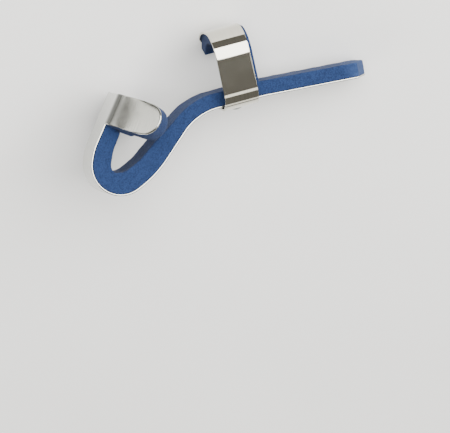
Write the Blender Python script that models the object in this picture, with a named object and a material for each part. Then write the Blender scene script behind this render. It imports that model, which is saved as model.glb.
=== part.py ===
"""Finger splint: a bent aluminium strip lined with foam, with a wrap-round clip riveted to it.

The splint is drawn in its own frame first, with x and y in the plane of its side view
and z across the strip, and is then turned so that it lies on its side on the floor.
"""

import math

import bmesh
import bpy
import numpy as np
from mathutils import Matrix, Vector

MM = 0.001

# Clearance between two pieces that touch on the real splint.
SEAT_GAP = 0.3

# Strip: width, length of its outer face up to the head, and sheet thickness.
STRIP_WIDTH = 19.0
STRIP_BODY = 175.4
STRIP_SHEET = 1.0
STRIP_HEADING = 190.2

# Runs of the strip's outer face from the free end to the head.
# Each row: share of STRIP_BODY, turn in degrees.
STRIP_RUNS = (
    (0.2663, 0.0),
    (0.0479, 4.0),
    (0.0969, 0.0),
    (0.1071, 41.7),
    (0.0832, 0.0),
    (0.1124, -21.3),
    (0.1813, -130.6),
    (0.0547, -18.0),
    (0.0502, 0.0),
)

# The free end comes to a blunt point: how far back its two corners lie, and
# where the point sits across the strip, from the far edge.
END_NEAR_CORNER = 4.9
END_FAR_CORNER = 2.0
END_POINT_ACROSS = 10.5

# Foam pad on the strip. Each row of its swelling in the hook: share of the
# strip's whole length, extra thickness as a share of STRIP_PAD.
STRIP_PAD = 6.0
PAD_SWELL = (
    (0.46, 0.00),
    (0.57, 0.45),
    (0.70, 0.58),
    (0.78, 0.36),
    (0.83, 0.36),
    (0.90, 0.23),
    (1.00, 0.00),
)

# Head: two arms in line with the end of the strip, folded in and flared, and
# leaning a little towards the strip's end. ARM_SIDE is the length of an arm's
# straight side, and its round end comes on top of that.
HEAD_BAND = 15.0
ARM_SIDE = 20.5
ARM_FOLD = 46.0
ARM_LEAN = 6.0
ARM_FOLD_RADIUS = 5.0
PAD_CREASE_RADIUS = 1.5

# Clip: band width, sheet thickness, where it lifts off the strip from the near
# edge, length from there round the finger, and place along the strip.
CLIP_BAND = 16.0
CLIP_SHEET = 1.0
CLIP_LIFT_INSET = 7.7
CLIP_WRAP = 78.3
CLIP_PLACE = 61.6

# Runs of the clip's outer face from where it lifts off the strip.
# Each row: share of CLIP_WRAP, turn in degrees.
CLIP_RUNS = (
    (0.0309, -10.0),
    (0.0217, 0.0),
    (0.2048, 92.3),
    (0.2025, 0.0),
    (0.2243, 90.2),
    (0.0973, 12.2),
    (0.2185, 48.1),
)

# Foam pad in the clip: thickness, where it starts past the lift, how far it is shifted.
CLIP_PAD = 5.0
CLIP_PAD_START = 12.7
CLIP_PAD_SHIFT = 1.2

# Rivet through clip and strip.
RIVET_SHANK = 3.0
RIVET_HEAD = 5.6
RIVET_HEAD_RISE = 1.9
RIVET_TAIL = 4.6
RIVET_TAIL_RISE = 0.7
RIVET_SIDES = 32
DOME_RINGS = 5

# Steps along a run: degrees of turn in each, and how many at least.
STEP_TURN = 4.5
RUN_STEPS = 2

# Least distance between a row of a run and the end of a piece.
ROW_MARGIN = 1.0

# Columns across the strip and across a band.
STRIP_COLUMNS = 4
ARM_FOLD_COLUMNS = 8
ARM_COLUMNS = 3
HEAD_ROWS = 16
BAND_COLUMNS = 12
TIP_FLAT = 0.04

# Rows in a round end, as shares of the way from where it starts to its tip.
ROUND_END = (0.3, 0.6, 1.0)

# Weight of each material in kg per cubic metre, for the way the splint comes to rest.
ALUMINIUM_DENSITY = 2700.0
FOAM_DENSITY = 60.0

# Edges that turn by more than this many degrees are shaded sharp.
SHARP_TURN = 35.0


def clear_scene():
    """Remove every object that the start-up scene holds."""
    for obj in list(bpy.data.objects):
        bpy.data.objects.remove(obj, do_unlink=True)


def material(name, color, metallic, roughness):
    """A Principled material with the given base colour."""
    mat = bpy.data.materials.new(name)
    mat.use_nodes = True
    shader = mat.node_tree.nodes["Principled BSDF"]
    shader.inputs["Base Color"].default_value = (*color, 1.0)
    shader.inputs["Metallic"].default_value = metallic
    shader.inputs["Roughness"].default_value = roughness
    return mat


def trace(start, heading, runs):
    """Points and headings along (length, turn) runs, with the distance of each."""
    points = [np.array(start, dtype=float)]
    headings = [math.radians(heading)]
    stations = [0.0]
    for length, turn in runs:
        steps = max(RUN_STEPS, math.ceil(abs(turn) / STEP_TURN))
        step = length / steps
        bend = math.radians(turn) / steps
        chord = step if bend == 0.0 else 2.0 * step / bend * math.sin(bend / 2.0)
        for _ in range(steps):
            middle = headings[-1] + bend / 2.0
            direction = np.array((math.cos(middle), math.sin(middle)))
            points.append(points[-1] + chord * direction)
            headings.append(headings[-1] + bend)
            stations.append(stations[-1] + step)
    return np.array(points), np.array(headings), np.array(stations)


class Spine:
    """A smooth planar path that can be read at any distance along it."""

    def __init__(self, start, heading, runs):
        self.points, self.headings, self.stations = trace(start, heading, runs)
        self.length = self.stations[-1]

    def at(self, distance):
        """Point and heading at a distance, past either end too."""
        inside = np.clip(distance, 0.0, self.length)
        heading = np.interp(inside, self.stations, self.headings)
        x = np.interp(inside, self.stations, self.points[:, 0])
        y = np.interp(inside, self.stations, self.points[:, 1])
        over = distance - inside
        return np.array((x + over * math.cos(heading), y + over * math.sin(heading))), heading


def inward(heading, side):
    """Unit normal of a path on the side that faces the finger."""
    return side * np.array((-math.sin(heading), math.cos(heading)))


def swelling(share):
    """Share of the pad's thickness that it swells by, eased between the table's rows."""
    if share <= PAD_SWELL[0][0]:
        return PAD_SWELL[0][1]
    for (low, before), (high, after) in zip(PAD_SWELL, PAD_SWELL[1:]):
        if share <= high:
            t = (share - low) / (high - low)
            return before + (after - before) * t * t * (3.0 - 2.0 * t)
    return PAD_SWELL[-1][1]


def plate(name, outer, inner, cells, mat):
    """A closed sheet between two grids of points, over the cells that are set."""
    rows, columns = cells.shape
    used = np.zeros((rows + 1, columns + 1), dtype=bool)
    for i in range(2):
        for j in range(2):
            used[i:rows + i, j:columns + j] |= cells
    index = np.full(used.shape, -1)
    index[used] = np.arange(used.sum())
    count = int(used.sum())
    points = np.vstack((outer[used], inner[used]))
    faces = []
    for i in range(rows):
        for j in range(columns):
            if not cells[i, j]:
                continue
            a, b = index[i, j], index[i + 1, j]
            c, d = index[i + 1, j + 1], index[i, j + 1]
            faces.append((a, b, c, d))
            faces.append((d + count, c + count, b + count, a + count))
            sides = (
                (i > 0 and cells[i - 1, j], d, a),
                (i < rows - 1 and cells[i + 1, j], b, c),
                (j > 0 and cells[i, j - 1], a, b),
                (j < columns - 1 and cells[i, j + 1], c, d),
            )
            for shared, p, q in sides:
                if not shared:
                    faces.append((q, p, p + count, q + count))
    mesh = bpy.data.meshes.new(name)
    mesh.from_pydata((points * MM).tolist(), [], [[int(v) for v in f] for f in faces])
    bm = bmesh.new()
    bm.from_mesh(mesh)
    bmesh.ops.recalc_face_normals(bm, faces=bm.faces)
    bm.to_mesh(mesh)
    bm.free()
    mesh.materials.append(mat)
    obj = bpy.data.objects.new(name, mesh)
    bpy.context.scene.collection.objects.link(obj)
    return obj


def strip_spine():
    """The strip's outer face in the side view."""
    body = [(share * STRIP_BODY, turn) for share, turn in STRIP_RUNS]
    return Spine((0.0, 0.0), STRIP_HEADING, [*body, (HEAD_BAND, 0.0)])


def strip_columns():
    """Places across the strip, with one at the point of the free end."""
    half = STRIP_WIDTH / 2.0
    point = END_POINT_ACROSS - half
    far = np.linspace(-half, point, STRIP_COLUMNS // 2 + 1)
    near = np.linspace(point, half, STRIP_COLUMNS // 2 + 1)
    return np.concatenate((far, near[1:]))


def end_setback(z):
    """How far the free end lies back from its point at a place across the strip."""
    point = END_POINT_ACROSS - STRIP_WIDTH / 2.0
    if z < point:
        return END_FAR_CORNER * (point - z) / (point + STRIP_WIDTH / 2.0)
    return END_NEAR_CORNER * (z - point) / (STRIP_WIDTH / 2.0 - point)


def strip_rows(spine):
    """Distances of the rows along the strip, and which of them belong to the head."""
    head_start = spine.length - HEAD_BAND
    body = [s for s in spine.stations if s < head_start - ROW_MARGIN]
    angle = np.linspace(0.0, math.pi, HEAD_ROWS + 1)
    head = head_start + HEAD_BAND * (1.0 - np.cos(angle)) / 2.0
    return np.array(body), head


def fold_section(depth, radius, reach):
    """One side of the head's cross-section at a depth below the outer face.

    Gives the places (inward, across) of a fold of the given radius and of the
    arm beyond it, with the arm's places given as a start and a direction.
    """
    fold = math.radians(ARM_FOLD)
    corner = STRIP_WIDTH / 2.0 + (ARM_FOLD_RADIUS - depth) * math.tan(fold / 2.0)
    begin = corner - radius * math.tan(fold / 2.0)
    angles = np.linspace(0.0, fold, ARM_FOLD_COLUMNS + 1)
    arc = np.column_stack((
        depth + radius * (1.0 - np.cos(angles)),
        begin + radius * np.sin(angles),
    ))
    direction = np.array((math.sin(fold), math.cos(fold)))
    normal = np.array((math.cos(fold), -math.sin(fold)))
    outer_tangent = np.array((
        ARM_FOLD_RADIUS * (1.0 - math.cos(fold)),
        STRIP_WIDTH / 2.0 + ARM_FOLD_RADIUS * math.sin(fold),
    ))
    tip = outer_tangent + direction * (reach - ARM_FOLD_RADIUS * fold) + normal * depth
    return begin, arc, tip


def arm_reach(distance, spine):
    """Reach of an arm at a distance along the strip, with its tip a half circle."""
    radius = HEAD_BAND / 2.0
    centre = spine.length - radius
    across = min(abs(distance - centre) / radius, 1.0)
    return ARM_SIDE + radius * math.sqrt(max(1.0 - across * across, TIP_FLAT ** 2))


def head_profile(depth, radius, distance, spine):
    """A row of places (inward, across) over one arm, the strip and the other arm."""
    begin, arc, tip = fold_section(depth, radius, arm_reach(distance, spine))
    shares = np.linspace(0.0, 1.0, ARM_COLUMNS + 1)[1:, None]
    arm = arc[-1] + (tip - arc[-1]) * shares
    near = np.vstack((arc, arm))
    far = near[::-1] * (1.0, -1.0)
    middle = strip_columns() / (STRIP_WIDTH / 2.0) * begin
    centre = np.column_stack((np.full(len(middle), depth), middle))
    return np.vstack((far[:-1], centre, near[1:]))


def strip_grid(spine, depth_at, crease):
    """Grid of points of a layer at a depth below the strip's outer face."""
    body, head = strip_rows(spine)
    side_columns = ARM_FOLD_COLUMNS + ARM_COLUMNS
    columns = strip_columns()
    total = len(columns) + 2 * side_columns
    grid = np.full((len(body) + len(head), total, 3), np.nan)
    first_run = STRIP_RUNS[0][0] * STRIP_BODY
    for i, distance in enumerate(body):
        for j, z in enumerate(columns):
            setback = end_setback(z) * max(1.0 - distance / first_run, 0.0)
            place = distance + setback
            point, heading = spine.at(place)
            normal = inward(heading, -1.0)
            grid[i, side_columns + j] = (*(point + normal * depth_at(place)), z)
    for i, distance in enumerate(head):
        point, heading = spine.at(distance)
        normal = inward(heading, -1.0)
        depth = depth_at(distance)
        profile = head_profile(depth, max(ARM_FOLD_RADIUS - depth, crease), distance, spine)
        along = np.array((math.cos(heading), math.sin(heading)))
        for j, (deep, z) in enumerate(profile):
            lean = math.tan(math.radians(ARM_LEAN)) * max(abs(z) - STRIP_WIDTH / 2.0, 0.0)
            grid[len(body) + i, j] = (*(point + normal * deep + along * lean), z)
    return grid


def strip_cells(spine):
    """Cells of the strip's grid: the whole strip, and the arms along the head only."""
    body, head = strip_rows(spine)
    side_columns = ARM_FOLD_COLUMNS + ARM_COLUMNS
    columns = len(strip_columns()) + 2 * side_columns
    cells = np.zeros((len(body) + len(head) - 1, columns - 1), dtype=bool)
    cells[:, side_columns:-side_columns] = True
    cells[len(body):, :] = True
    return cells


def pad_depth(distance, spine):
    """Depth of the pad's finger side below the strip's outer face."""
    swell = STRIP_PAD * swelling(distance / spine.length)
    return STRIP_SHEET + SEAT_GAP + STRIP_PAD + swell


def make_strip(spine, mat):
    """The bent aluminium strip with its two folded arms."""
    outer = strip_grid(spine, lambda s: 0.0, PAD_CREASE_RADIUS)
    inner = strip_grid(spine, lambda s: STRIP_SHEET, PAD_CREASE_RADIUS)
    return plate("backing_strip", outer, inner, strip_cells(spine), mat)


def make_strip_pad(spine, mat):
    """The foam that lines the strip and both arms."""
    outer = strip_grid(spine, lambda s: STRIP_SHEET + SEAT_GAP, PAD_CREASE_RADIUS)
    inner = strip_grid(spine, lambda s: pad_depth(s, spine), PAD_CREASE_RADIUS)
    return plate("strip_pad", outer, inner, strip_cells(spine), mat)


def clip_frame(spine):
    """Seat of the clip on the strip: its middle, and the way along and inward."""
    point, heading = spine.at(CLIP_PLACE)
    along = np.array((math.cos(heading), math.sin(heading)))
    return point, along, inward(heading, -1.0)


def clip_base():
    """Length of the clip's flat base on the strip, up to where it lifts off."""
    return STRIP_WIDTH - CLIP_LIFT_INSET


def clip_spine():
    """The clip's outer face across the strip, as (across, inward) places."""
    start = (-STRIP_WIDTH / 2.0, -SEAT_GAP - CLIP_SHEET)
    wrap = [(share * CLIP_WRAP, turn) for share, turn in CLIP_RUNS]
    return Spine(start, 0.0, [(clip_base(), 0.0), *wrap])


def clip_rows(path, first, last):
    """Distances along the clip's path from a first one to a last one."""
    body = [s for s in path.stations if first + ROW_MARGIN < s < last - ROW_MARGIN]
    return np.array([first, *body, last])


def band_grid(spine, rows_at, depth, shift):
    """Grid of points of a layer of the clip at a depth inside its outer face.

    rows_at gives the distances along the clip's path of one column of the band.
    """
    middle, along, up = clip_frame(spine)
    path = clip_spine()
    angles = np.linspace(-math.pi / 2.0, math.pi / 2.0, BAND_COLUMNS + 1)
    columns = []
    for angle in angles:
        across = CLIP_BAND / 2.0 * math.sin(angle)
        column = []
        for place in rows_at(path, across):
            (z, rise), heading = path.at(place)
            z, rise = np.array((z, rise)) + inward(heading, 1.0) * depth
            column.append((*(middle + up * rise - along * (across + shift)), z))
        columns.append(column)
    return np.array(columns).transpose(1, 0, 2)


def round_rows(path, across):
    """Rows of a column of the band with both of its ends rounded."""
    radius = CLIP_BAND / 2.0
    bulge = radius * math.sqrt(max(1.0 - (across / radius) ** 2, TIP_FLAT ** 2))
    rows = clip_rows(path, radius, path.length - radius)
    last = rows[-1] + bulge * np.array(ROUND_END)
    first = radius - bulge * np.array(ROUND_END[::-1])
    return np.concatenate((first, rows, last))


def square_rows(path, across):
    """Rows of a column of the pad, which is cut straight at both ends."""
    return clip_rows(path, clip_base() + CLIP_PAD_START, path.length)


def make_clip(spine, mat):
    """The aluminium band that wraps round the finger."""
    outer = band_grid(spine, round_rows, 0.0, 0.0)
    inner = band_grid(spine, round_rows, CLIP_SHEET, 0.0)
    cells = np.ones((outer.shape[0] - 1, outer.shape[1] - 1), dtype=bool)
    return plate("clip_band", outer, inner, cells, mat)


def make_clip_pad(spine, mat):
    """The foam that lines the clip, set slightly towards the free end."""
    seat = CLIP_SHEET + SEAT_GAP
    outer = band_grid(spine, square_rows, seat, CLIP_PAD_SHIFT)
    inner = band_grid(spine, square_rows, seat + CLIP_PAD, CLIP_PAD_SHIFT)
    cells = np.ones((outer.shape[0] - 1, outer.shape[1] - 1), dtype=bool)
    return plate("clip_pad", outer, inner, cells, mat)


def turned(name, profile, place, axis, mat):
    """A closed turned body from (radius, height) pairs that start and end on the axis."""
    bm = bmesh.new()
    rings = []
    for radius, height in profile:
        if radius == 0.0:
            rings.append([bm.verts.new((0.0, 0.0, height * MM))])
            continue
        ring = []
        for k in range(RIVET_SIDES):
            angle = 2.0 * math.pi * k / RIVET_SIDES
            x, y = radius * math.cos(angle), radius * math.sin(angle)
            ring.append(bm.verts.new((x * MM, y * MM, height * MM)))
        rings.append(ring)
    for low, high in zip(rings, rings[1:]):
        for k in range(RIVET_SIDES):
            n = (k + 1) % RIVET_SIDES
            if len(low) == 1:
                bm.faces.new((low[0], high[k], high[n]))
            elif len(high) == 1:
                bm.faces.new((low[k], low[n], high[0]))
            else:
                bm.faces.new((low[k], low[n], high[n], high[k]))
    bmesh.ops.recalc_face_normals(bm, faces=bm.faces)
    mesh = bpy.data.meshes.new(name)
    bm.to_mesh(mesh)
    bm.free()
    turn = Vector((0.0, 0.0, 1.0)).rotation_difference(Vector(axis)).to_matrix().to_4x4()
    mesh.transform(Matrix.Translation(Vector(place)) @ turn)
    if mat:
        mesh.materials.append(mat)
    obj = bpy.data.objects.new(name, mesh)
    bpy.context.scene.collection.objects.link(obj)
    return obj


def rivet_frame(spine):
    """Where the rivet's axis meets the strip's outer face, and its inward axis."""
    middle, _, up = clip_frame(spine)
    return (middle[0] * MM, middle[1] * MM, 0.0), (up[0], up[1], 0.0)


def make_rivet(spine, mat):
    """The rivet: a domed head under the clip and a flat tail on the strip."""
    place, axis = rivet_frame(spine)
    under = -SEAT_GAP - CLIP_SHEET - SEAT_GAP
    over = STRIP_SHEET + SEAT_GAP
    dome = []
    for k in range(DOME_RINGS):
        angle = math.pi / 2.0 * k / DOME_RINGS
        dome.append((RIVET_HEAD / 2.0 * math.sin(angle), under - RIVET_HEAD_RISE * math.cos(angle)))
    profile = [
        *dome,
        (RIVET_HEAD / 2.0, under),
        (RIVET_SHANK / 2.0, under),
        (RIVET_SHANK / 2.0, over),
        (RIVET_TAIL / 2.0, over),
        (RIVET_TAIL / 2.0, over + RIVET_TAIL_RISE),
        (0.0, over + RIVET_TAIL_RISE),
    ]
    return turned("rivet", profile, place, axis, mat)


def cut(target, cutter):
    """Take a cutter out of a target and delete the cutter."""
    cutter.hide_render = True
    cutter.display_type = "WIRE"
    modifier = target.modifiers.new("cut", "BOOLEAN")
    modifier.operation = "DIFFERENCE"
    modifier.solver = "EXACT"
    modifier.object = cutter
    bpy.context.view_layer.update()
    graph = bpy.context.evaluated_depsgraph_get()
    mesh = bpy.data.meshes.new_from_object(target.evaluated_get(graph))
    target.modifiers.clear()
    target.data = mesh
    bpy.data.objects.remove(cutter, do_unlink=True)


def cylinder(radius, low, high):
    """Profile of a plain cylinder for the turning function."""
    return [(0.0, low), (radius, low), (radius, high), (0.0, high)]


def drill(spine, strip, pad, clip):
    """Rivet holes in both sheets and a pocket for the tail in the pad."""
    place, axis = rivet_frame(spine)
    hole = cylinder(RIVET_SHANK / 2.0 + SEAT_GAP, -2.0 * CLIP_SHEET, 2.0 * STRIP_SHEET)
    cut(strip, turned("strip_hole", hole, place, axis, None))
    cut(clip, turned("clip_hole", hole, place, axis, None))
    top = STRIP_SHEET + 2.0 * SEAT_GAP + RIVET_TAIL_RISE
    pocket = cylinder(RIVET_TAIL / 2.0 + SEAT_GAP, 0.0, top)
    cut(pad, turned("tail_pocket", pocket, place, axis, None))


def volume_and_centre(mesh):
    """Signed volume and volume centre of a closed mesh."""
    mesh.calc_loop_triangles()
    points = np.array([v.co for v in mesh.vertices])
    triangles = np.array([t.vertices for t in mesh.loop_triangles])
    a, b, c = points[triangles[:, 0]], points[triangles[:, 1]], points[triangles[:, 2]]
    parts = np.einsum("ij,ij->i", a, np.cross(b, c)) / 6.0
    return parts.sum(), (parts[:, None] * (a + b + c) / 4.0).sum(axis=0) / parts.sum()


def resting_turn(pieces):
    """Rotation that lays the splint on its far side, on three points of its outline.

    The face of the hull that it rests on is the one that the centre of weight
    stands over and that turns the splint least.
    """
    total, centre = 0.0, np.zeros(3)
    bm = bmesh.new()
    for obj, density in pieces:
        volume, middle = volume_and_centre(obj.data)
        total += volume * density
        centre += volume * density * middle
        bm.from_mesh(obj.data)
    centre /= total
    hull = bmesh.ops.convex_hull(bm, input=bm.verts)
    best = None
    for face in hull["geom"]:
        if not isinstance(face, bmesh.types.BMFace):
            continue
        corners = [np.array(v.co) for v in face.verts]
        normal = np.array(face.normal)
        if np.dot(normal, corners[0] - centre) < 0.0:
            normal = -normal
        over = True
        for p, q in zip(corners, corners[1:] + corners[:1]):
            edge = np.cross(q - p, normal)
            middle = sum(corners) / len(corners)
            if np.dot(edge, middle - p) < 0.0:
                edge = -edge
            over = over and np.dot(edge, centre - p) > 0.0
        if over and (best is None or normal[2] < best[2]):
            best = normal
    bm.free()
    return Vector(best).rotation_difference(Vector((0.0, 0.0, -1.0))).to_matrix()


def lay_down(pieces):
    """Turn all pieces to rest on the floor, with the origin under the box's middle."""
    turn = resting_turn(pieces).to_4x4()
    for obj, _ in pieces:
        obj.data.transform(turn)
    points = np.vstack([np.array([v.co for v in obj.data.vertices]) for obj, _ in pieces])
    low, high = points.min(axis=0), points.max(axis=0)
    shift = Vector((-(low[0] + high[0]) / 2.0, -(low[1] + high[1]) / 2.0, -low[2]))
    for obj, _ in pieces:
        obj.data.transform(Matrix.Translation(shift))
        obj.data.update()


def shade(obj, smooth_angle):
    """Smooth shading with sharp edges above an angle."""
    bm = bmesh.new()
    bm.from_mesh(obj.data)
    for face in bm.faces:
        face.smooth = True
    for edge in bm.edges:
        edge.smooth = edge.calc_face_angle(math.pi) < math.radians(smooth_angle)
    bm.to_mesh(obj.data)
    bm.free()


def build():
    """Build the whole splint."""
    clear_scene()
    strip_metal = material("strip_aluminium", (0.80, 0.81, 0.80), 1.0, 0.28)
    clip_metal = material("clip_aluminium", (0.78, 0.78, 0.76), 1.0, 0.22)
    rivet_metal = material("rivet_aluminium", (0.55, 0.56, 0.55), 1.0, 0.35)
    strip_foam = material("strip_foam", (0.040, 0.095, 0.245), 0.0, 0.95)
    clip_foam = material("clip_foam", (0.045, 0.10, 0.25), 0.0, 0.95)
    spine = strip_spine()
    strip = make_strip(spine, strip_metal)
    pad = make_strip_pad(spine, strip_foam)
    clip = make_clip(spine, clip_metal)
    clip_pad = make_clip_pad(spine, clip_foam)
    rivet = make_rivet(spine, rivet_metal)
    drill(spine, strip, pad, clip)
    pieces = (
        (strip, ALUMINIUM_DENSITY),
        (pad, FOAM_DENSITY),
        (clip, ALUMINIUM_DENSITY),
        (clip_pad, FOAM_DENSITY),
        (rivet, ALUMINIUM_DENSITY),
    )
    lay_down(pieces)
    for obj, _ in pieces:
        shade(obj, SHARP_TURN)


build()
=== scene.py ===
"""Finger splint on a pale floor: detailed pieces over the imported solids, stage, light and camera."""

import math

import bmesh
import bpy
import numpy as np
from bpy.props import FloatProperty, PointerProperty, StringProperty
from mathutils import Matrix, Vector


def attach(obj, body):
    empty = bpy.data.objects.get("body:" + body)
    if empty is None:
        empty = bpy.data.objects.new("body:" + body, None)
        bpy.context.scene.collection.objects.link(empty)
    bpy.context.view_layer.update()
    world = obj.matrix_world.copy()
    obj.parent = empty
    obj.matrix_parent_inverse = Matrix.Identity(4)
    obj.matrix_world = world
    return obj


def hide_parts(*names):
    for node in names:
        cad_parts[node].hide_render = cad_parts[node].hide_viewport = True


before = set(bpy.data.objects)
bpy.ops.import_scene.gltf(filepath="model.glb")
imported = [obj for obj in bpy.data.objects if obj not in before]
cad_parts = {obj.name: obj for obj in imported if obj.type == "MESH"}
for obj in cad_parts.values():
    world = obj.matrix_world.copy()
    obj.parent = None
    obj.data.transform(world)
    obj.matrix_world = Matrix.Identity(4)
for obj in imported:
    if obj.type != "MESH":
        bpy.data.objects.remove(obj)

bl_info = {
    "name": "Finger splint",
    "version": (1, 0, 0),
    "blender": (4, 5, 0),
    "location": "3D View > Sidebar > Splint",
    "description": "Builds a foam-lined aluminium finger splint and its stage",
    "category": "Add Mesh",
}

# The splint is drawn with x and y in the plane of its side view and z across the
# strip. These turn and shift it to where it lies on the floor.
REST_TURN = np.array((
    (0.99544898, -0.01891058, 0.09340086),
    (-0.01891058, 0.92142207, 0.38810278),
    (-0.09340086, -0.38810278, 0.91687104),
))
REST_SHIFT = np.array((0.06450856, 0.01140774, 0.01105661))

# Runs of the strip's outer face from the free end to the head.
# Each row: share of the strip's body, turn in degrees.
STRIP_RUNS = (
    (0.2663, 0.0),
    (0.0479, 4.0),
    (0.0969, 0.0),
    (0.1071, 41.7),
    (0.0832, 0.0),
    (0.1124, -21.3),
    (0.1813, -130.6),
    (0.0547, -18.0),
    (0.0502, 0.0),
)
STRIP_HEADING = 190.2

# Swelling of the pad in the hook: share of the strip's length, extra thickness as
# a share of the pad's.
PAD_SWELL = (
    (0.46, 0.00),
    (0.57, 0.45),
    (0.70, 0.58),
    (0.78, 0.36),
    (0.83, 0.36),
    (0.90, 0.23),
    (1.00, 0.00),
)

# Runs of the clip's outer face from where it lifts off the strip.
# Each row: share of the clip's wrap, turn in degrees.
CLIP_RUNS = (
    (0.0309, -10.0),
    (0.0217, 0.0),
    (0.2048, 92.3),
    (0.2025, 0.0),
    (0.2243, 90.2),
    (0.0973, 12.2),
    (0.2185, 48.1),
)

# The view is along the splint's own z axis, tipped a little, from far away.
VIEW = (-0.226, 0.060, 0.972)
VIEW_DISTANCE = 3.0
VIEW_END = 20.0
SENSOR_WIDTH = 36.0
PHOTO_WIDTH = 450.0
PHOTO_HEIGHT = 433.0
PIXELS_PER_METRE = 2200.0
END_CORNER_PIXEL = (359.4, 78.1)

# Soft lights. Each row: name, direction from the point that is looked at, distance in
# metres, width and height in metres, radiance, tint.
SOFTBOXES = (
    ("window", (0.20, 0.57, 0.75), 1.0, (1.3, 0.88), 9.0, "#fffefb"),
    ("overhead_strip", (0.41, -0.18, 0.89), 1.1, (0.7, 0.28), 2.3, "#fffdf6"),
    ("left_panel", (-0.85, 0.50, 0.32), 1.2, (0.7, 0.48), 2.2, "#fffdf6"),
    ("left_fill", (-0.75, -0.45, 0.48), 1.2, (0.8, 0.6), 4.0, "#ffffff"),
    ("front_panel", (0.15, -0.95, 0.20), 1.3, (1.2, 0.30), 1.6, "#fffdf6"),
)

# How far an arm bows out in the middle of its length.
ARM_BOW = 0.0006

# Least height of a round end over the line that it starts from, as a share of its
# radius, so that the outermost cells keep some length.
END_FLAT = 0.04

# Gap between the metal and the foam on it.
FOAM_CLEAR = 0.00006

# Height of the waves in the foam's face. The first wave is a product of one along and
# one across, each in radians per metre and a phase. The slanted ones have a row each:
# share of the height, radians per metre along and across, phase.
FOAM_RIPPLE = 0.00010
ALONG_WAVE = (720.0, 1.3)
ACROSS_WAVE = (410.0, 0.4)
SLANT_WAVES = (
    (0.6, 1310.0, -380.0, 2.1),
    (0.4, 260.0, 900.0, 0.0),
)

# How far the foam's paler patches at the free end reach.
PALE_END_REACH = 0.012

# Radius of the rims of the two sheets and of the foam, steps round a rim, and the
# angle past which an edge is shaded sharp.
STRIP_RIM = 0.00042
CLIP_RIM = 0.00035
FOAM_RIM = 0.0007
RIM_STEPS = 3
SHARP_TURN = 40.0

# Fineness: places worked out on a path, sizes of a cell, steps round a fold, layers of
# the foam up to its rim, sides of the rivet, and rings of its head.
PATH_PLACES = 6001
STRIP_CELL = 0.0009
STRIP_FOAM_CELL = 0.0010
CLIP_CELL = 0.0007
CLIP_FOAM_CELL = 0.0009
FOLD_STEPS = 14
FOAM_LAYERS = 4
RIVET_SIDES = 48
DOME_RINGS = 11

# Fewest steps of a straight stretch and round the ends of the arms and of the clip, and
# how much finer than a cell the steps round those ends are.
FEWEST_STEPS = 4
FEWEST_ARM_END_STEPS = 16
FEWEST_CLIP_END_STEPS = 12
ARM_END_FINENESS = 1.4
CLIP_END_FINENESS = 1.5

# Outline of the rivet's tail. Each row: share of its radius, share of its rise.
TAIL_OUTLINE = (
    (1.00, 0.0),
    (1.00, 0.6),
    (0.92, 0.9),
    (0.80, 1.0),
)

# Painted shade on the head's folds: a darker band in the metal's colour that stands in
# for a dark reflection. Its middle as a share of the fold's radius past the strip's edge, its
# half width, how strong its middle is, and its colour as a share of the metal's.
PAINTED_FOLD_SHADE_PLACE = 0.7
PAINTED_FOLD_SHADE_REACH = 0.0048
PAINTED_FOLD_SHADE_STRENGTH = 0.93
PAINTED_FOLD_SHADE_TONE = 0.14

# Colour of the low places of the rolling lines, of the foam's flecks and of the floor's
# mottle, as shares of the metal's, the foam's and the floor's.
LINE_SHADE = 0.80
FLECK_SHADE = 1.35
MOTTLE_SHADE = 0.97

# Plain light of the room, and the floor's half side.
ROOM_TINT = "#dedad0"
ROOM_LIGHT = 0.30
FLOOR_REACH = 3.0


def length(name, text, value):
    """A size in metres that the sidebar shows."""
    return FloatProperty(name=name, description=text, default=value, min=0.0, unit="LENGTH",
                         precision=5)


def colour(name, text, value):
    """A colour as an sRGB hex value."""
    return StringProperty(name=name, description=text, default=value)


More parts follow.
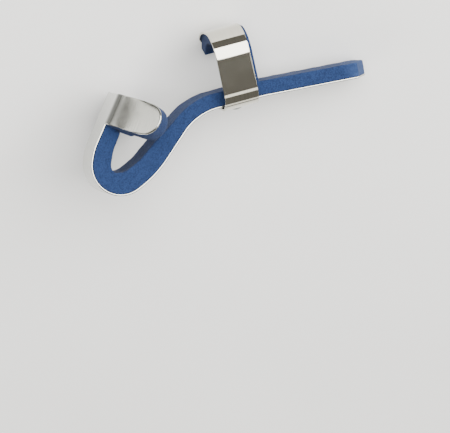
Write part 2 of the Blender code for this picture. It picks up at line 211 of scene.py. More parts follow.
class SplintSizes(bpy.types.PropertyGroup):
    """Sizes of the splint's pieces."""
    strip_width: length("Strip width", "Width of the strip", 0.0190)
    strip_body: length("Strip body", "Length of the strip's outer face to the head", 0.1754)
    strip_sheet: length("Strip sheet", "Thickness of the strip", 0.0010)
    end_near_corner: length("Near corner", "Setback of the free end's near corner", 0.0049)
    end_far_corner: length("Far corner", "Setback of the free end's far corner", 0.0020)
    end_point: length("End point", "Place of the free end's point from the far edge", 0.0105)
    strip_pad: length("Strip pad", "Thickness of the foam on the strip", 0.0060)
    head_band: length("Head band", "Width of the arms along the strip", 0.0150)
    arm_side: length("Arm side", "Length of an arm's straight side", 0.0205)
    arm_fold_radius: length("Arm fold radius", "Outer radius of the arms' folds", 0.0050)
    crease_radius: length("Crease radius", "Radius of the pad's crease in a fold", 0.0015)
    arm_fold: FloatProperty(name="Arm fold", description="Angle that the arms are folded by",
                            default=math.radians(46.0), subtype="ANGLE")
    arm_lean: FloatProperty(name="Arm lean", description="Lean of the arms to the strip's end",
                            default=math.radians(6.0), subtype="ANGLE")
    clip_band: length("Clip band", "Width of the clip's band", 0.0160)
    clip_sheet: length("Clip sheet", "Thickness of the clip", 0.0010)
    clip_lift_inset: length("Clip lift", "Where the clip lifts off, from the near edge", 0.0077)
    clip_wrap: length("Clip wrap", "Length of the clip's outer face past the lift", 0.0783)
    clip_place: length("Clip place", "Place of the clip along the strip", 0.0616)
    clip_pad: length("Clip pad", "Thickness of the foam in the clip", 0.0050)
    clip_pad_start: length("Clip pad start", "Where the clip's foam starts past the lift", 0.0127)
    clip_pad_shift: length("Clip pad shift", "Shift of the clip's foam", 0.0012)
    seat_gap: length("Seat gap", "Clearance between touching pieces", 0.0003)
    rivet_shank: length("Rivet shank", "Diameter of the rivet's shank", 0.0030)
    rivet_head: length("Rivet head", "Diameter of the rivet's head", 0.0056)
    rivet_head_rise: length("Rivet head rise", "Height of the rivet's head", 0.0019)
    rivet_tail: length("Rivet tail", "Diameter of the rivet's tail", 0.0046)
    rivet_tail_rise: length("Rivet tail rise", "Height of the rivet's tail", 0.0007)


class SplintColours(bpy.types.PropertyGroup):
    """Colours of the splint's finishes."""
    strip: colour("Strip", "Rolled aluminium of the strip", "#c2c3bf")
    clip: colour("Clip", "Polished aluminium of the clip", "#cfccc1")
    rivet: colour("Rivet", "Aluminium of the rivet", "#a9aba9")
    foam: colour("Foam", "Cut faces of the foam", "#24375e")
    foam_pore: colour("Foam pore", "Inside of the foam's pores", "#1c2a4b")
    # Paler foam in patches towards the free end.
    foam_pale_end: colour("Foam worn", "Worn foam at the free end", "#465d8c")
    floor: colour("Floor", "Matt white board under the splint", "#f6f6f5")


def linear(text):
    """sRGB hex to linear: v / 12.92 for low values, ((v + 0.055) / 1.055) ^ 2.4 above."""
    values = np.array([int(text[k:k + 2], 16) for k in (1, 3, 5)]) / 255.0
    bright = ((values + 0.055) / 1.055) ** 2.4
    return (*np.where(values <= 0.04045, values / 12.92, bright).tolist(), 1.0)


def node(tree, kind, inputs=None, **settings):
    """Adds one node with its settings; an input is a value or another node's socket."""
    made = tree.nodes.new(kind)
    for key, value in settings.items():
        setattr(made, key, value)
    for key, value in (inputs or {}).items():
        if isinstance(value, bpy.types.NodeSocket):
            tree.links.new(value, made.inputs[key])
        else:
            made.inputs[key].default_value = value
    return made


def maths(tree, operation, *values):
    """The outcome of a Math node over values or sockets."""
    made = node(tree, "ShaderNodeMath", dict(enumerate(values)), operation=operation)
    return made.outputs["Value"]


def mix(tree, factor, first, second, **settings):
    """The colour of a Mix node between two colours."""
    made = node(tree, "ShaderNodeMix", {"Factor": factor, 6: first, 7: second},
                data_type="RGBA", **settings)
    return made.outputs[2]


def noise(tree, place, scale, detail, **inputs):
    """A noise texture node over a place."""
    return node(tree, "ShaderNodeTexNoise", {
        "Vector": place, "Scale": scale, "Detail": detail, **inputs,
    })


def shaded(base, share):
    """A colour times a share, no brighter than white."""
    return (*(min(1.0, share * v) for v in base[:3]), 1.0)


def plain_material(name, **sockets):
    """A new material, its tree and its Principled shader with constants set on it."""
    mat = bpy.data.materials.new(name)
    mat.use_nodes = True
    tree = mat.node_tree
    shader = tree.nodes["Principled BSDF"]
    for key, value in sockets.items():
        shader.inputs[key.replace("_", " ")].default_value = value
    return mat, tree, shader


def ramp(tree, factor, stops):
    """A colour ramp node over (place, colour) stops."""
    made = node(tree, "ShaderNodeValToRGB", {"Fac": factor})
    band = made.color_ramp
    while len(band.elements) < len(stops):
        band.elements.new(0.5)
    for element, (place, value) in zip(band.elements, stops):
        element.position = place
        element.color = value
    return made


def grey(value):
    """A grey as a colour."""
    return (value, value, value, 1.0)


def aluminium(name, tint, low, high, line_bump, fold=None):
    """Rolled aluminium sheet: a bare metal with fine lines along the rolling direction.

    The lines run along the strip, about 0.2 mm apart, drawn coarser than real
    ones so that they show. Handling leaves soft smudges some millimetres wide, over
    which the roughness goes from low to high. A fold, given as the distance along that
    it starts at, the place across of its band and the band's half width, gets painted
    shade there: a darker band that stands in for a dark reflection along the fold.
    """
    mat, tree, shader = plain_material(name, Metallic=1.0)
    uv = node(tree, "ShaderNodeUVMap", uv_map="UVMap").outputs["UV"]
    stretched = node(tree, "ShaderNodeMapping", {"Vector": uv, "Scale": (60.0, 5200.0, 1.0)})
    lines = noise(tree, stretched.outputs["Vector"], 1.0, 3.0, Roughness=0.6)
    place = node(tree, "ShaderNodeTexCoord").outputs["Object"]
    smudge = noise(tree, place, 180.0, 4.0, Roughness=0.55)
    rough = node(tree, "ShaderNodeMapRange", {
        "Value": smudge.outputs["Fac"], "From Min": 0.3, "From Max": 0.75,
        "To Min": low, "To Max": high,
    })
    tree.links.new(rough.outputs["Result"], shader.inputs["Roughness"])
    base = linear(tint)
    stops = ((0.30, shaded(base, LINE_SHADE)), (0.62, base))
    result = ramp(tree, lines.outputs["Fac"], stops).outputs["Color"]
    # Painted shade: a darker band along the fold, standing in for a dark reflection.
    if fold:
        start, middle, reach = fold
        split = node(tree, "ShaderNodeSeparateXYZ", {"Vector": uv})
        past = maths(tree, "GREATER_THAN", split.outputs["X"], start)
        side = maths(tree, "ABSOLUTE", split.outputs["Y"])
        gap = maths(tree, "ABSOLUTE", maths(tree, "SUBTRACT", side, middle))
        near = node(tree, "ShaderNodeMapRange", {
            "Value": gap, "From Min": 0.0, "From Max": reach,
            "To Min": PAINTED_FOLD_SHADE_STRENGTH, "To Max": 0.0,
        }, interpolation_type="SMOOTHSTEP")
        painted_fold_shade_mask = maths(tree, "MULTIPLY", near.outputs["Result"], past)
        result = mix(tree, painted_fold_shade_mask, result, shaded(base, PAINTED_FOLD_SHADE_TONE))
    tree.links.new(result, shader.inputs["Base Color"])
    bump = node(tree, "ShaderNodeBump", {
        "Height": lines.outputs["Fac"], "Strength": line_bump, "Distance": 0.00003,
    })
    tree.links.new(bump.outputs["Normal"], shader.inputs["Normal"])
    return mat


def foam(name, colours, pale_to):
    """Open-cell polyurethane foam: matt, blue, full of pores about half a millimetre wide.

    The pores are drawn 0.7 mm wide so that they show, over a mottling of 3 mm and
    specks of 0.3 mm. The foam is paler in patches from the free end up to pale_to, and
    not at all where pale_to is zero.
    """
    mat, tree, shader = plain_material(name, Roughness=0.92, Sheen_Weight=0.04,
                                       Sheen_Roughness=0.6, Specular_IOR_Level=0.12)
    place = node(tree, "ShaderNodeTexCoord").outputs["Object"]
    warp = noise(tree, place, 1500.0, 2.0)
    bent = node(tree, "ShaderNodeVectorMath", {
        0: warp.outputs["Color"], 1: (0.0004,) * 3, 2: place,
    }, operation="MULTIPLY_ADD")
    pores = node(tree, "ShaderNodeTexVoronoi", {
        "Vector": bent.outputs["Vector"], "Scale": 1450.0, "Randomness": 1.0,
    }, feature="F1")
    mottle = noise(tree, place, 330.0, 5.0, Roughness=0.65)
    speck = noise(tree, place, 3300.0, 2.0)
    blue, dark = linear(colours.foam), linear(colours.foam_pore)
    open_cells = ramp(tree, pores.outputs["Distance"], ((0.25, blue), (0.85, dark)))
    patches = ramp(tree, mottle.outputs["Fac"], ((0.35, grey(0.90)), (0.68, grey(1.10))))
    tinted = mix(tree, 1.0, open_cells.outputs["Color"], patches.outputs["Color"],
                 blend_type="MULTIPLY")
    fleck = ramp(tree, speck.outputs["Fac"], ((0.60, grey(0.0)), (0.74, grey(0.5))))
    result = mix(tree, fleck.outputs["Color"], tinted, shaded(blue, FLECK_SHADE))
    # Paler in mottled patches towards the free end.
    if pale_to > 0.0:
        uv = node(tree, "ShaderNodeUVMap", uv_map="UVMap").outputs["UV"]
        split = node(tree, "ShaderNodeSeparateXYZ", {"Vector": uv})
        pale_fade = node(tree, "ShaderNodeMapRange", {
            "Value": split.outputs["X"], "From Min": 0.0, "From Max": pale_to,
            "To Min": 1.0, "To Max": 0.0,
        })
        patchy = maths(tree, "MULTIPLY", pale_fade.outputs["Result"], mottle.outputs["Fac"])
        result = mix(tree, patchy, result, linear(colours.foam_pale_end))
    tree.links.new(result, shader.inputs["Base Color"])
    relief = maths(tree, "MULTIPLY_ADD", pores.outputs["Distance"], -1.0,
                   speck.outputs["Fac"])
    bump = node(tree, "ShaderNodeBump", {
        "Height": relief, "Strength": 0.40, "Distance": 0.00025,
    })
    tree.links.new(bump.outputs["Normal"], shader.inputs["Normal"])
    return mat


def board(colours):
    """Matt white board: rough and even, with a very faint mottle some centimetres wide."""
    mat, tree, shader = plain_material("matt_white_board", Roughness=0.95,
                                       Specular_IOR_Level=0.1)
    place = node(tree, "ShaderNodeTexCoord").outputs["Object"]
    cloud = noise(tree, place, 12.0, 2.0)
    base = linear(colours.floor)
    tone = ramp(tree, cloud.outputs["Fac"], ((0.3, shaded(base, MOTTLE_SHADE)), (0.7, base)))
    tree.links.new(tone.outputs["Color"], shader.inputs["Base Color"])
    return mat


def curve(start, heading, runs):
    """A path in a plane over (length, turn) runs: its heading is linear in the distance
    over each run, and its place is the running sum of the heading's cosine and sine."""
    knots = np.concatenate(([0.0], np.cumsum([run for run, _ in runs])))
    turns = np.concatenate(([0.0], np.cumsum([turn for _, turn in runs])))
    distance = np.linspace(0.0, knots[-1], PATH_PLACES)
    angle = np.radians(heading + np.interp(distance, knots, turns))
    middle = (angle[1:] + angle[:-1]) / 2.0
    x = start[0] + np.concatenate(([0.0], np.cumsum(np.cos(middle)))) * distance[1]
    y = start[1] + np.concatenate(([0.0], np.cumsum(np.sin(middle)))) * distance[1]
    return distance, x, y, angle


def along(path, s):
    """Place and heading of a path at the distances s, straight on past either end."""
    distance, xs, ys, angles = path
    inside = np.clip(s, 0.0, distance[-1])
    angle = np.interp(inside, distance, angles)
    x = np.interp(inside, distance, xs) + (s - inside) * np.cos(angle)
    y = np.interp(inside, distance, ys) + (s - inside) * np.sin(angle)
    return x, y, angle


def strip_path(sizes):
    """The strip's outer face in the side view."""
    body = [(share * sizes.strip_body, turn) for share, turn in STRIP_RUNS]
    return curve((0.0, 0.0), STRIP_HEADING, [*body, (sizes.head_band, 0.0)])


def clip_base(sizes):
    """Length of the clip's flat base, up to where it lifts off the strip."""
    return sizes.strip_width - sizes.clip_lift_inset


def clip_path(sizes):
    """The clip's outer face across the strip, as (across, inward) places."""
    start = (-sizes.strip_width / 2.0, -sizes.seat_gap - sizes.clip_sheet)
    wrap = [(share * sizes.clip_wrap, turn) for share, turn in CLIP_RUNS]
    return curve(start, 0.0, [(clip_base(sizes), 0.0), *wrap])


def swelling(share):
    """Extra thickness of the pad: eased by t * t * (3 - 2 t) between the table's rows."""
    places, values = np.array(PAD_SWELL).T
    k = np.clip(np.searchsorted(places, share) - 1, 0, len(places) - 2)
    t = np.clip((share - places[k]) / (places[k + 1] - places[k]), 0.0, 1.0)
    return values[k] + (values[k + 1] - values[k]) * t * t * (3.0 - 2.0 * t)


def half_circle(off):
    """Height of a round end at a place off its middle, both as shares of its radius."""
    return np.sqrt(np.maximum(1.0 - off * off, END_FLAT ** 2))


def strip_lattice(sizes, depth_at, cell, crease):
    """Lattice of points (layers, rows, columns) of a layer that follows the strip.

    On the strip a point is the path's place plus its inward normal times the depth.
    At the head the row is folded: flat to where the fold begins, round it on a
    circle of the fold's radius less the depth, at least the crease's, and on to the
    arm's tip, which is a half circle. On its way the arm bows out a little.
    depth_at(s, across) gives the layers' depths. It returns the points, their places
    in the material's pattern, and which cells between them are filled.
    """
    path = strip_path(sizes)
    total = path[0][-1]
    half = sizes.strip_width / 2.0
    head_start = total - sizes.head_band
    rows = max(FEWEST_STEPS, round(head_start / cell))
    body = np.linspace(0.0, head_start, rows, endpoint=False)
    steps = max(FEWEST_ARM_END_STEPS, round(ARM_END_FINENESS * sizes.head_band / cell))
    turns = np.linspace(0.0, math.pi, steps)
    head = head_start + sizes.head_band * (1.0 - np.cos(turns)) / 2.0
    s = np.concatenate((body, head))[:, None]
    point = sizes.end_point - half
    middle = np.concatenate((
        np.linspace(-half, point, round((point + half) / cell), endpoint=False),
        np.linspace(point, half, round((half - point) / cell) + 1),
    ))
    arm_steps = max(FEWEST_STEPS, round(sizes.arm_side / cell))
    fold = sizes.arm_fold
    bend = np.linspace(0.0, fold, FOLD_STEPS + 1)[1:]
    reach_share = np.linspace(0.0, 1.0, arm_steps + 1)[1:]

    # Rows of the body, with the blunt point of the free end.
    back = np.where(middle < point,
                    sizes.end_far_corner * (point - middle) / (point + half),
                    sizes.end_near_corner * (middle - point) / (half - point))
    first_run = STRIP_RUNS[0][0] * sizes.strip_body
    place = s[:len(body)] + back * np.maximum(1.0 - s[:len(body)] / first_run, 0.0)
    sides = FOLD_STEPS + arm_steps
    place = np.pad(place, ((0, 0), (sides, sides)), mode="edge")
    across = np.tile(np.pad(middle, sides, mode="edge"), (len(body), 1))
    body_depth = depth_at(place, across)
    bx, by, ba = along(path, place)
    body_points = np.stack((
        bx + np.sin(ba) * body_depth,
        by - np.cos(ba) * body_depth,
        np.broadcast_to(across, body_depth.shape),
    ), axis=-1)
    body_uv = np.stack(np.broadcast_arrays(place, across + body_depth), axis=-1)

    # Rows of the head.
    hs = s[len(body):]
    tip_radius = sizes.head_band / 2.0
    off = np.clip(np.abs(hs - (total - tip_radius)) / tip_radius, 0.0, 1.0)
    reach = sizes.arm_side + tip_radius * half_circle(off)
    depth = depth_at(hs, np.zeros((1, 1)))
    radius = np.maximum(sizes.arm_fold_radius - depth, crease)
    corner = half + (sizes.arm_fold_radius - depth) * math.tan(fold / 2.0)
    begin = corner - radius * math.tan(fold / 2.0)
    arc_deep = depth + radius * (1.0 - np.cos(bend))
    arc_out = begin + radius * np.sin(bend)
    tip_deep = (sizes.arm_fold_radius * (1.0 - math.cos(fold)) + math.cos(fold) * depth
                + math.sin(fold) * (reach - sizes.arm_fold_radius * fold))
    tip_out = (half + sizes.arm_fold_radius * math.sin(fold) - math.sin(fold) * depth
               + math.cos(fold) * (reach - sizes.arm_fold_radius * fold))
    bow = ARM_BOW * 4.0 * reach_share * (1.0 - reach_share)
    arm_deep = arc_deep[..., -1:] + (tip_deep - arc_deep[..., -1:]) * reach_share
    arm_deep = arm_deep - bow * math.cos(fold)
    arm_out = arc_out[..., -1:] + (tip_out - arc_out[..., -1:]) * reach_share
    arm_out = arm_out + bow * math.sin(fold)
    near_deep = np.concatenate((arc_deep, arm_deep), axis=-1)
    near_out = np.concatenate((arc_out, arm_out), axis=-1)
    flat_out = middle / half * begin
    deep = np.concatenate((near_deep[..., ::-1], np.broadcast_to(depth, flat_out.shape),
                           near_deep), axis=-1)
    out = np.concatenate((-near_out[..., ::-1], flat_out, near_out), axis=-1)
    hx, hy, ha = along(path, hs)
    lean = math.tan(sizes.arm_lean) * np.maximum(np.abs(out) - half, 0.0)
    head_points = np.stack((
        hx + np.sin(ha) * deep + np.cos(ha) * lean,
        hy - np.cos(ha) * deep + np.sin(ha) * lean,
        out,
    ), axis=-1)
    head_uv = np.stack(np.broadcast_arrays(hs, out + deep), axis=-1)

    points = np.concatenate((body_points, head_points), axis=1)
    uv = np.concatenate((body_uv, head_uv), axis=1)
    cells = np.zeros((points.shape[1] - 1, points.shape[2] - 1), dtype=bool)
    cells[:, sides:-sides] = True
    cells[len(body):, :] = True
    return points, uv, cells


def clip_lattice(sizes, depth_at, first_at, last_at, cell, shift):
    """Lattice of points (layers, rows, columns) of a layer that follows the clip.

    A column at a place across the band runs from first_at to last_at along the
    clip's path. A point is the strip's place under the clip, plus the way inward
    times the path's rise, less the way along times the place across the band plus
    the shift. It returns what strip_lattice does.
    """
    path = clip_path(sizes)
    x, y, angle = along(strip_path(sizes), sizes.clip_place)
    steps = max(FEWEST_CLIP_END_STEPS, round(CLIP_END_FINENESS * sizes.clip_band / cell))
    turns = np.linspace(-math.pi / 2.0, math.pi / 2.0, steps)
    across = sizes.clip_band / 2.0 * np.sin(turns)
    share = np.linspace(0.0, 1.0, round(sizes.clip_wrap / cell))[:, None]
    first, last = first_at(across), last_at(across)
    place = first + (last - first) * share
    z, rise, turn = along(path, place)
    depth = depth_at(place, across)
    z = z - np.sin(turn) * depth
    rise = rise + np.cos(turn) * depth
    points = np.stack(np.broadcast_arrays(
        x + math.sin(angle) * rise - math.cos(angle) * (across + shift),
        y - math.cos(angle) * rise - math.sin(angle) * (across + shift),
        z,
    ), axis=-1)
    uv = np.stack(np.broadcast_arrays(place, across + depth), axis=-1)
    cells = np.ones((points.shape[1] - 1, points.shape[2] - 1), dtype=bool)
    return points, uv, cells


def solid(name, points, uv, cells):
    """A closed solid round a lattice: its first and last layers, and a wall of all its
    layers along every edge between a cell that is set and one that isn't."""
    layers, rows, columns = points.shape[:3]
    index = np.arange(layers * rows * columns).reshape(layers, rows, columns)

    def skin(k):
        a, b = index[k, :-1, :-1][cells], index[k, 1:, :-1][cells]
        c, d = index[k, 1:, 1:][cells], index[k, :-1, 1:][cells]
        return np.column_stack((a, b, c, d))

    framed = np.pad(cells, 1)
    crossing = framed[:-1, 1:-1] != framed[1:, 1:-1]
    lengthwise = framed[1:-1, :-1] != framed[1:-1, 1:]
    walls = []
    for k in range(layers - 1):
        low, high = index[k], index[k + 1]
        walls.append(np.column_stack((low[:, :-1][crossing], low[:, 1:][crossing],
                                      high[:, 1:][crossing], high[:, :-1][crossing])))
        walls.append(np.column_stack((low[:-1][lengthwise], low[1:][lengthwise],
                                      high[1:][lengthwise], high[:-1][lengthwise])))
    faces = np.vstack((skin(0), skin(layers - 1), *walls))
    used, compact = np.unique(faces, return_inverse=True)
    faces = compact.reshape(-1, 4).tolist()
    return shell(name, points.reshape(-1, 3)[used], faces, uv.reshape(-1, 2)[used])


def shell(name, points, faces, uv):
    """A mesh object of points laid on the floor by the resting turn and shift."""
    placed = points @ REST_TURN.T + REST_SHIFT
    mesh = bpy.data.meshes.new(name)
    mesh.from_pydata(placed.tolist(), [], faces)
    layer = mesh.uv_layers.new(name="UVMap")
    corners = np.empty(len(mesh.loops), dtype=np.int32)
    mesh.loops.foreach_get("vertex_index", corners)
    layer.data.foreach_set("uv", uv[corners].astype(np.float32).ravel())
    bm = bmesh.new()
    bm.from_mesh(mesh)
    bmesh.ops.recalc_face_normals(bm, faces=bm.faces)
    bm.to_mesh(mesh)
    bm.free()
    mesh.polygons.foreach_set("use_smooth", np.ones(len(mesh.polygons), dtype=bool))
    mesh.set_sharp_from_angle(angle=math.radians(SHARP_TURN))
    made = bpy.data.objects.new(name, mesh)
    bpy.context.scene.collection.objects.link(made)
    return made


def dress(piece, mat, node_name):
    """Gives a piece its material and its place in the frame."""
    piece.data.materials.append(mat)
    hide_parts(node_name)
    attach(piece, "root")


def ripple(s, across):
    """Uneven face of soft foam: a sum of a few waves some millimetres long, halved
    because their shares add up to two."""
    wave = (np.sin(s * ALONG_WAVE[0] + ALONG_WAVE[1])
            * np.cos(across * ACROSS_WAVE[0] + ACROSS_WAVE[1]))
    for share, lengthwise, crosswise, phase in SLANT_WAVES:
        wave = wave + share * np.sin(s * lengthwise + across * crosswise + phase)
    return FOAM_RIPPLE * wave / 2.0


def rim(radius):
    """A quarter circle: depths radius (1 - cos t) and insets radius (1 - sin t)."""
    turn = np.linspace(0.0, math.pi / 2.0, RIM_STEPS + 1)
    return radius * (1.0 - np.cos(turn)), radius * (1.0 - np.sin(turn))


def sheet_layers(sheet, radius):
    """Depths of a sheet's layers and how far each is drawn in, round at both faces."""
    below, inset = rim(radius)
    return np.concatenate((below, sheet - below[::-1])), np.concatenate((inset, inset[::-1]))


def foam_insets():
    """How far each layer of the foam is drawn in: round at its finger side only."""
    return np.concatenate((np.zeros(FOAM_LAYERS), rim(FOAM_RIM)[1][-2::-1]))


def foam_depths(start, thick):
    """Depths of the foam's layers: even shares up to the rim, and round it to the face."""
    even = np.linspace(0.0, 1.0, FOAM_LAYERS)[:, None, None]
    below = rim(FOAM_RIM)[0][-2::-1, None, None]
    return start + np.concatenate((even * (thick - FOAM_RIM), thick - below), axis=0)


def shorten(line, on, inset):
    """Moves the points of a line: one at the distance t of its length L goes to
    inset + (L - 2 inset) t / L."""
    way = line[on]
    t = np.concatenate(([0.0], np.cumsum(np.linalg.norm(np.diff(way, axis=0), axis=1))))
    place = inset + (t[-1] - 2.0 * inset) * t / t[-1]
    line[on] = np.column_stack([np.interp(place, t, way[:, k]) for k in range(3)])


def drawn_in(points, cells, insets):
    """Draws the outline of each layer in by its inset, along every row and every column,
    so that the rim comes out round."""
    framed = np.pad(cells, 1)
    used = framed[:-1, :-1] | framed[:-1, 1:] | framed[1:, :-1] | framed[1:, 1:]
    for layer, inset in zip(points, insets):
        if inset > 0.0:
            for line, on in (*zip(layer, used), *zip(layer.swapaxes(0, 1), used.T)):
                shorten(line, on, inset)
    return points


class SPLINT_OT_backing_strip(bpy.types.Operator):
    """Builds the bent aluminium strip with its two folded arms."""
    bl_idname = "splint.backing_strip"
    bl_label = "Backing strip"

    def execute(self, context):
        sizes, colours = context.scene.splint_sizes, context.scene.splint_colours
        depths, insets = sheet_layers(sizes.strip_sheet, STRIP_RIM)

        def depth_at(s, across):
            return np.broadcast_arrays(depths[:, None, None], s, across)[0]

        points, uv, cells = strip_lattice(sizes, depth_at, STRIP_CELL, sizes.crease_radius)
        piece = solid("strip_sheet", drawn_in(points, cells, insets), uv, cells)
        # The arms' folds get painted shade: a darker band in the metal's colour for a dark reflection.
        middle = sizes.strip_width / 2.0 + PAINTED_FOLD_SHADE_PLACE * sizes.arm_fold_radius
        fold = (sizes.strip_body, middle, PAINTED_FOLD_SHADE_REACH)
        mat = aluminium("rolled_aluminium", colours.strip, low=0.12, high=0.20,
                        line_bump=0.08, fold=fold)
        dress(piece, mat, "backing_strip")
        return {"FINISHED"}


class SPLINT_OT_strip_pad(bpy.types.Operator):
    """Builds the foam that lines the strip and both arms."""
    bl_idname = "splint.strip_pad"
    bl_label = "Strip pad"

    def execute(self, context):
        sizes, colours = context.scene.splint_sizes, context.scene.splint_colours

        def depth_at(s, across):
            whole = sizes.strip_body + sizes.head_band
            thick = sizes.strip_pad * (1.0 + swelling(s / whole))
            full = sizes.seat_gap - FOAM_CLEAR + thick + ripple(s, across)
            return foam_depths(sizes.strip_sheet + FOAM_CLEAR, full)

        points, uv, cells = strip_lattice(sizes, depth_at, STRIP_FOAM_CELL,
                                          sizes.crease_radius)
        piece = solid("strip_foam_lining", drawn_in(points, cells, foam_insets()), uv, cells)
        mat = foam("open_cell_foam", colours, PALE_END_REACH)
        dress(piece, mat, "strip_pad")
        return {"FINISHED"}


class SPLINT_OT_clip_band(bpy.types.Operator):
    """Builds the aluminium band that wraps round the finger."""
    bl_idname = "splint.clip_band"
    bl_label = "Clip band"

    def execute(self, context):
        sizes, colours = context.scene.splint_sizes, context.scene.splint_colours
        radius = sizes.clip_band / 2.0
        depths, insets = sheet_layers(sizes.clip_sheet, CLIP_RIM)
        end = clip_base(sizes) + sizes.clip_wrap

        def first_at(across):
            return radius - radius * half_circle(across / radius)

        def last_at(across):
            return end - first_at(across)

        def depth_at(place, across):
            return np.broadcast_arrays(depths[:, None, None], place, across)[0]

        points, uv, cells = clip_lattice(sizes, depth_at, first_at, last_at, CLIP_CELL, 0.0)
        piece = solid("clip_sheet", drawn_in(points, cells, insets), uv, cells)
        mat = aluminium("polished_aluminium", colours.clip, low=0.045, high=0.075,
                        line_bump=0.02)
        dress(piece, mat, "clip_band")
        return {"FINISHED"}


class SPLINT_OT_clip_pad(bpy.types.Operator):
    """Builds the foam that lines the clip."""
    bl_idname = "splint.clip_pad"
    bl_label = "Clip pad"

    def execute(self, context):
        sizes, colours = context.scene.splint_sizes, context.scene.splint_colours
        base = clip_base(sizes)

        def first_at(across):
            return np.full_like(across, base + sizes.clip_pad_start)

        def last_at(across):
            return np.full_like(across, base + sizes.clip_wrap)

        def depth_at(place, across):
            full = sizes.seat_gap - FOAM_CLEAR + sizes.clip_pad + ripple(place, across)
            return foam_depths(sizes.clip_sheet + FOAM_CLEAR, full)

        points, uv, cells = clip_lattice(sizes, depth_at, first_at, last_at, CLIP_FOAM_CELL,
                                         sizes.clip_pad_shift)
        piece = solid("clip_foam_lining", drawn_in(points, cells, foam_insets()), uv, cells)
        mat = foam("open_cell_foam_clip", colours, 0.0)
        dress(piece, mat, "clip_pad")
        return {"FINISHED"}


class SPLINT_OT_rivet(bpy.types.Operator):
    """Builds the rivet: a domed head under the clip and a flat tail on the strip."""
    bl_idname = "splint.rivet"
    bl_label = "Rivet"

    def execute(self, context):
        sizes, colours = context.scene.splint_sizes, context.scene.splint_colours
        under = -sizes.seat_gap - sizes.clip_sheet - sizes.seat_gap
        over = sizes.strip_sheet + sizes.seat_gap
        turn = np.linspace(0.0, math.pi / 2.0, DOME_RINGS + 1)[1:]
        head = sizes.rivet_head / 2.0
        tail = sizes.rivet_tail / 2.0
        shank = sizes.rivet_shank / 2.0
        profile = np.vstack((
            np.column_stack((head * np.sin(turn), under - sizes.rivet_head_rise * np.cos(turn))),
            (shank, under),
            (shank, over),
            *[(wide * tail, over + rise * sizes.rivet_tail_rise) for wide, rise in TAIL_OUTLINE],
        ))
        angle = np.linspace(0.0, 2.0 * math.pi, RIVET_SIDES, endpoint=False)
        radius, height = profile[:, :1], profile[:, 1:]
        x, y, up = strip_frame(sizes)
        way = np.array((-up[1], up[0], 0.0))
        axis = np.array((*up, 0.0))
        side = np.array((0.0, 0.0, 1.0))
        seat = np.array((x, y, 0.0))
        rings = (seat + (radius * np.cos(angle))[..., None] * way
                 + (radius * np.sin(angle))[..., None] * side
                 + height[..., None] * axis)
        low = seat + (under - sizes.rivet_head_rise) * axis
        high = seat + (over + sizes.rivet_tail_rise) * axis
        points = np.vstack((rings.reshape(-1, 3), low, high))
        index = np.arange(len(profile) * RIVET_SIDES).reshape(-1, RIVET_SIDES)
        ahead = np.roll(index, -1, axis=1)
        quads = np.stack((index[:-1], ahead[:-1], ahead[1:], index[1:]), axis=-1).reshape(-1, 4)
        caps = [[int(a), int(b), len(points) - 2] for a, b in zip(index[0], ahead[0])]
        caps += [[int(b), int(a), len(points) - 1] for a, b in zip(index[-1], ahead[-1])]
        piece = shell("rivet_body", points, quads.tolist() + caps, points[:, :2])
        mat = aluminium("drawn_aluminium", colours.rivet, low=0.30, high=0.42,
                        line_bump=0.05)
        dress(piece, mat, "rivet")
        return {"FINISHED"}


def strip_frame(sizes):
    """Where the clip sits on the strip: x, y, and the way inward."""
    x, y, angle = along(strip_path(sizes), sizes.clip_place)
    return float(x), float(y), (math.sin(angle), -math.cos(angle))


def view_axes():
    """Right, up and back of the view: up is the splint's own y axis, squared to the view."""
    back = REST_TURN @ (np.array(VIEW) / np.linalg.norm(VIEW))
    right = np.cross(-back, REST_TURN @ np.array((0.0, 1.0, 0.0)))
    right /= np.linalg.norm(right)
    return right, np.cross(right, -back), back


def view_centre(sizes):
    """The point that the middle of the photograph looks at, worked out from the pixel
    of the free end's near corner."""
    x, y, _ = along(strip_path(sizes), sizes.end_near_corner)
    corner = REST_TURN @ np.array((x, y, sizes.strip_width / 2.0)) + REST_SHIFT
    right, up, _ = view_axes()
    return (corner - right * (END_CORNER_PIXEL[0] - PHOTO_WIDTH / 2.0) / PIXELS_PER_METRE
            + up * (END_CORNER_PIXEL[1] - PHOTO_HEIGHT / 2.0) / PIXELS_PER_METRE)


def softbox(centre, name, way, distance, size, radiance, tint):
    """An area light at a distance from the centre in a direction, turned to it; its
    power is the radiance times pi times its area."""
    way = np.array(way) / np.linalg.norm(way)
    lamp = bpy.data.lights.new(name, "AREA")
    lamp.shape = "RECTANGLE"
    lamp.size, lamp.size_y = size
    lamp.energy = radiance * math.pi * size[0] * size[1]
    lamp.color = linear(tint)[:3]
    made = bpy.data.objects.new(name, lamp)
    level = np.array((1.0, 0.0, 0.0)) - way[0] * way
    level /= np.linalg.norm(level)
    frame_axes = np.column_stack((level, np.cross(way, level), way))
    made.matrix_world = (Matrix.Translation(Vector(centre + distance * way))
                         @ Matrix(frame_axes.tolist()).to_4x4())
    bpy.context.scene.collection.objects.link(made)


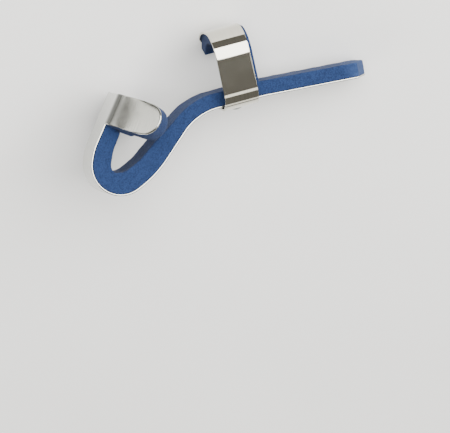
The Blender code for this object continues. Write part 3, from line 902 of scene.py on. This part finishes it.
class SPLINT_OT_stage(bpy.types.Operator):
    """Builds the pale floor, the soft light and the camera at the photograph's angle."""
    bl_idname = "splint.stage"
    bl_label = "Stage"

    def execute(self, context):
        scene = context.scene
        sizes, colours = scene.splint_sizes, scene.splint_colours
        centre = view_centre(sizes)
        right, up, back = view_axes()
        lens = bpy.data.cameras.new("photo_view")
        lens.sensor_width = SENSOR_WIDTH
        lens.lens = SENSOR_WIDTH * VIEW_DISTANCE / (PHOTO_WIDTH / PIXELS_PER_METRE)
        lens.clip_end = VIEW_END
        camera = bpy.data.objects.new("photo_view", lens)
        turn = Matrix([[float(right[k]), float(up[k]), float(back[k])] for k in range(3)])
        camera.matrix_world = (Matrix.Translation(Vector(centre + back * VIEW_DISTANCE))
                               @ turn.to_4x4())
        scene.collection.objects.link(camera)
        scene.camera = camera
        mesh = bpy.data.meshes.new("floor")
        ends = ((-1.0, -1.0, 0.0), (1.0, -1.0, 0.0), (1.0, 1.0, 0.0), (-1.0, 1.0, 0.0))
        mesh.from_pydata((FLOOR_REACH * np.array(ends)).tolist(), [], [(0, 1, 2, 3)])
        mesh.materials.append(board(colours))
        floor = bpy.data.objects.new("floor", mesh)
        scene.collection.objects.link(floor)
        world = bpy.data.worlds.new("studio_air")
        world.use_nodes = True
        air = world.node_tree.nodes["Background"]
        air.inputs["Color"].default_value = linear(ROOM_TINT)
        air.inputs["Strength"].default_value = ROOM_LIGHT
        scene.world = world
        for light in SOFTBOXES:
            softbox(centre, *light)
        return {"FINISHED"}


class SPLINT_PT_panel(bpy.types.Panel):
    """Lists the pieces, the sizes and the colours in the sidebar."""
    bl_idname = "SPLINT_PT_panel"
    bl_label = "Finger splint"
    bl_space_type = "VIEW_3D"
    bl_region_type = "UI"
    bl_category = "Splint"

    def draw(self, context):
        for operator in OPERATORS:
            self.layout.operator(operator.bl_idname)
        for group in (context.scene.splint_sizes, context.scene.splint_colours):
            box = self.layout.box()
            for name in group.__annotations__:
                box.prop(group, name)


OPERATORS = (
    SPLINT_OT_backing_strip,
    SPLINT_OT_strip_pad,
    SPLINT_OT_clip_band,
    SPLINT_OT_clip_pad,
    SPLINT_OT_rivet,
    SPLINT_OT_stage,
)
CLASSES = (SplintSizes, SplintColours, *OPERATORS, SPLINT_PT_panel)


def register():
    """Registers the classes and hangs the sizes and colours on the scene."""
    for cls in CLASSES:
        bpy.utils.register_class(cls)
    bpy.types.Scene.splint_sizes = PointerProperty(type=SplintSizes)
    bpy.types.Scene.splint_colours = PointerProperty(type=SplintColours)


def unregister():
    """Takes the classes off again."""
    del bpy.types.Scene.splint_colours
    del bpy.types.Scene.splint_sizes
    for cls in reversed(CLASSES):
        bpy.utils.unregister_class(cls)


def main():
    """Builds every piece and the stage."""
    register()
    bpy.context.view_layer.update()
    bpy.ops.splint.backing_strip()
    bpy.ops.splint.strip_pad()
    bpy.ops.splint.clip_band()
    bpy.ops.splint.clip_pad()
    bpy.ops.splint.rivet()
    bpy.ops.splint.stage()


if __name__ == "__main__":
    main()
